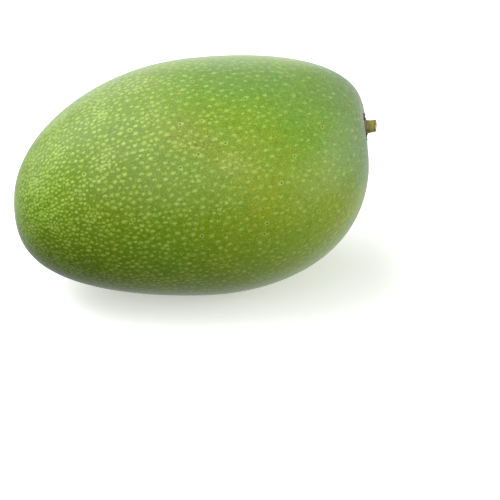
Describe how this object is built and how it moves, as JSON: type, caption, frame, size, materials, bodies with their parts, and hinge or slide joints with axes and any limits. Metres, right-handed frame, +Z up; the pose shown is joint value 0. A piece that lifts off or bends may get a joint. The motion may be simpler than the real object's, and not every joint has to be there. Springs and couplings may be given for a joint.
{
  "type": "green mango",
  "caption": "Whole unripe green mango with a short stem stub, an oblique ovoid fruit lying on one cheek, for still lifes, kitchens and market displays.",
  "frame": {"origin": "in the small flat of the lower cheek that the fruit rests on, under its centre of mass", "axes": "+Z up; +X along the fruit towards its stem end; +Y towards the shoulder that stands further out"},
  "size_m": [0.1311, 0.0903, 0.0827],
  "materials": {
    "skin": "waxy green fruit skin with pale dots",
    "scar": "dry corky tissue",
    "stem": "green-brown woody stem, cut across"
  },
  "bodies": {
    "root": {"fruit": "skin", "calyx_scar": "scar", "stem": "stem"}
  },
  "joints": []
}
